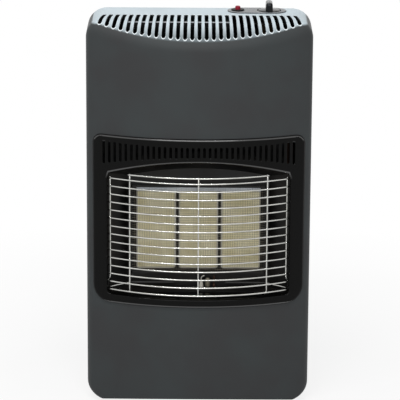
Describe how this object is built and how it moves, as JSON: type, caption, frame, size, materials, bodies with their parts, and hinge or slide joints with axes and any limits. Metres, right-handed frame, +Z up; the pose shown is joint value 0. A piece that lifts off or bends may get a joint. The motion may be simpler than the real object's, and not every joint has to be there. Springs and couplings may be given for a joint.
{
  "type": "portable gas cabinet heater",
  "caption": "Bowed sheet-steel cabinet heater on swivel casters, with ceramic plaque burners behind a wire guard, top controls and a rear cylinder bay.",
  "frame": {"origin": "on the floor under the middle of the cabinet", "axes": "+Z up, front towards -Y, +X to the viewer's right"},
  "size_m": [0.42, 0.4399, 0.762],
  "materials": {
    "cabinet_paint": "dark grey powder coat, satin",
    "inner_steel": "black coated sheet, matt",
    "aluminised_steel": "aluminised sheet steel, dull",
    "zinc_steel": "zinc plated steel",
    "black_enamel": "black stove enamel, semi-gloss",
    "guard_chrome": "bright chromed wire",
    "chamber_black": "black heat-resistant coating",
    "plaque_ceramic": "porous cordierite plaque",
    "white_ceramic": "glazed insulator with a steel tip",
    "copper_pipe": "soft copper tube",
    "valve_brass": "machined brass",
    "brushed_plate": "brushed steel plate",
    "black_plastic": "moulded black plastic",
    "red_plastic": "glossy red button",
    "lead_sleeve": "silicone sleeved lead",
    "knob_chrome": "chromed plastic knob",
    "wheel_rubber": "moulded black wheel"
  },
  "bodies": {
    "cabinet": {"front_panel": "cabinet_paint", "side_panel_left": "cabinet_paint", "side_panel_right": "cabinet_paint", "top_panel": "cabinet_paint", "base_tray": "inner_steel", "heat_shield": "aluminised_steel", "vent_rail": "zinc_steel", "bezel_frame": "black_enamel", "guard_grille": "guard_chrome", "burner_chamber": "chamber_black", "radiant_mesh": "zinc_steel", "burner_rail": "aluminised_steel", "lower_deflector": "aluminised_steel", "injector_bar": "zinc_steel", "pilot_bracket": "zinc_steel", "pilot_burner": "zinc_steel", "pilot_pipe": "copper_pipe", "spark_electrode": "white_ceramic", "thermocouple": "copper_pipe", "gas_valve": "valve_brass", "valve_bracket": "zinc_steel", "hose_nozzle": "valve_brass", "control_plate": "brushed_plate", "igniter_collar": "black_plastic", "piezo_igniter": "black_plastic", "ignition_lead": "lead_sleeve", "burner_housing_left": "aluminised_steel", "ceramic_plaque_left": "plaque_ceramic", "injector_left": "valve_brass", "burner_pipe_left": "copper_pipe", "burner_housing_middle": "aluminised_steel", "ceramic_plaque_middle": "plaque_ceramic", "injector_middle": "valve_brass", "burner_pipe_middle": "copper_pipe", "burner_housing_right": "aluminised_steel", "ceramic_plaque_right": "plaque_ceramic", "injector_right": "valve_brass", "burner_pipe_right": "copper_pipe", "caster_mount_front_left": "zinc_steel", "caster_mount_front_right": "zinc_steel", "caster_mount_rear_left": "zinc_steel", "caster_mount_rear_right": "zinc_steel"},
    "rear_cover": {"rear_cover": "cabinet_paint"},
    "spindle_stop": {"stop_washer": "zinc_steel"},
    "knob": {"knob": "knob_chrome", "valve_spindle": "valve_brass"},
    "igniter_button": {"igniter_button": "red_plastic"},
    "caster_fork_front_left": {"caster_fork_front_left": "zinc_steel", "caster_axle_front_left": "zinc_steel"},
    "caster_wheel_front_left": {"caster_wheel_front_left": "wheel_rubber"},
    "caster_fork_front_right": {"caster_fork_front_right": "zinc_steel", "caster_axle_front_right": "zinc_steel"},
    "caster_wheel_front_right": {"caster_wheel_front_right": "wheel_rubber"},
    "caster_fork_rear_left": {"caster_fork_rear_left": "zinc_steel", "caster_axle_rear_left": "zinc_steel"},
    "caster_wheel_rear_left": {"caster_wheel_rear_left": "wheel_rubber"},
    "caster_fork_rear_right": {"caster_fork_rear_right": "zinc_steel", "caster_axle_rear_right": "zinc_steel"},
    "caster_wheel_rear_right": {"caster_wheel_rear_right": "wheel_rubber"}
  },
  "joints": [
    {"name": "rear_cover_lift", "type": "slide", "parent": "cabinet", "child": "rear_cover", "axis": [0, 0.7071, 0.7071], "range_m": [0, 0.3]},
    {"name": "knob_push", "type": "slide", "parent": "cabinet", "child": "spindle_stop", "axis": [0, 0, -1], "range_m": [0, 0.005], "stiffness_N_per_m": 600, "springref_m": -0.004},
    {"name": "knob_turn", "type": "hinge", "parent": "spindle_stop", "child": "knob", "pos_m": [0.1295, -0.08, 0.745], "axis": [0, 0, 1], "range_deg": [0, 180]},
    {"name": "igniter_push", "type": "slide", "parent": "cabinet", "child": "igniter_button", "axis": [0, 0, -1], "range_m": [0, 0.006], "stiffness_N_per_m": 400, "springref_m": -0.003},
    {"name": "caster_swivel_front_left", "type": "hinge", "parent": "cabinet", "child": "caster_fork_front_left", "pos_m": [-0.158, -0.102, 0.045], "axis": [0, 0, 1], "continuous": true},
    {"name": "caster_spin_front_left", "type": "hinge", "parent": "caster_fork_front_left", "child": "caster_wheel_front_left", "pos_m": [-0.158, -0.082, 0.019], "axis": [1, 0, 0], "continuous": true},
    {"name": "caster_swivel_front_right", "type": "hinge", "parent": "cabinet", "child": "caster_fork_front_right", "pos_m": [0.158, -0.102, 0.045], "axis": [0, 0, 1], "continuous": true},
    {"name": "caster_spin_front_right", "type": "hinge", "parent": "caster_fork_front_right", "child": "caster_wheel_front_right", "pos_m": [0.158, -0.082, 0.019], "axis": [1, 0, 0], "continuous": true},
    {"name": "caster_swivel_rear_left", "type": "hinge", "parent": "cabinet", "child": "caster_fork_rear_left", "pos_m": [-0.158, 0.168, 0.045], "axis": [0, 0, 1], "continuous": true},
    {"name": "caster_spin_rear_left", "type": "hinge", "parent": "caster_fork_rear_left", "child": "caster_wheel_rear_left", "pos_m": [-0.158, 0.188, 0.019], "axis": [1, 0, 0], "continuous": true},
    {"name": "caster_swivel_rear_right", "type": "hinge", "parent": "cabinet", "child": "caster_fork_rear_right", "pos_m": [0.158, 0.168, 0.045], "axis": [0, 0, 1], "continuous": true},
    {"name": "caster_spin_rear_right", "type": "hinge", "parent": "caster_fork_rear_right", "child": "caster_wheel_rear_right", "pos_m": [0.158, 0.188, 0.019], "axis": [1, 0, 0], "continuous": true}
  ]
}
